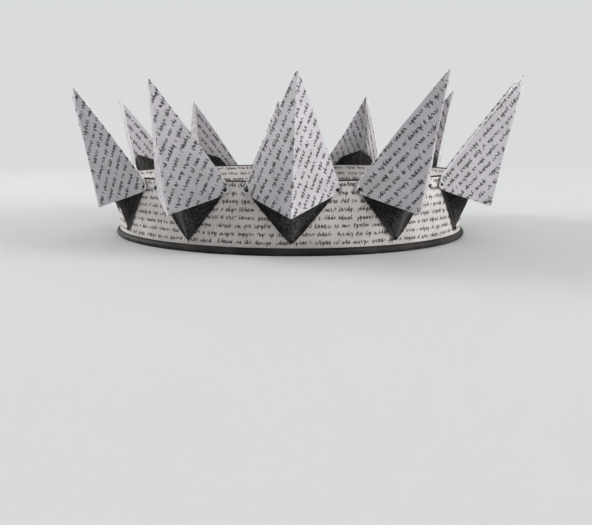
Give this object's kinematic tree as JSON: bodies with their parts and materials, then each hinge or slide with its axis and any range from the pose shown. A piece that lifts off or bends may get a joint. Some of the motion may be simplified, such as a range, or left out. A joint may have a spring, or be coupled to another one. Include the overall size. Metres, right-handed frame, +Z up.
{
  "type": "paper crown",
  "caption": "Paper crown: a round dark band covered in printed paper, with folded pointed kites of the same paper pinned around it over dark gussets.",
  "frame": {"origin": "on the crown's axis, at the flat underside of the lower edging, where it stands", "axes": "+Z up along the axis the points stand around; point_01 faces -Y and the numbers go on towards +X"},
  "size_m": [0.24, 0.24, 0.0773],
  "materials": {
    "printed_paper": "matte white paper with rows of pen scribble",
    "dark_card": "matte charcoal, faintly mottled",
    "edging_leather": "satin dark rolled edging",
    "black_pins": "gloss black"
  },
  "bodies": {
    "root": {"band_core": "dark_card", "outer_cover": "printed_paper", "inner_cover": "printed_paper", "lower_edging": "edging_leather", "point_01": "printed_paper", "point_02": "printed_paper", "point_03": "printed_paper", "point_04": "printed_paper", "point_05": "printed_paper", "point_06": "printed_paper", "point_07": "printed_paper", "point_08": "printed_paper", "point_09": "printed_paper", "point_10": "printed_paper", "point_11": "printed_paper", "point_12": "printed_paper", "gusset_01": "dark_card", "gusset_02": "dark_card", "gusset_03": "dark_card", "gusset_04": "dark_card", "gusset_05": "dark_card", "gusset_06": "dark_card", "gusset_07": "dark_card", "gusset_08": "dark_card", "gusset_09": "dark_card", "gusset_10": "dark_card", "gusset_11": "dark_card", "gusset_12": "dark_card", "upper_pins": "black_pins", "lower_pins": "black_pins"}
  },
  "joints": []
}
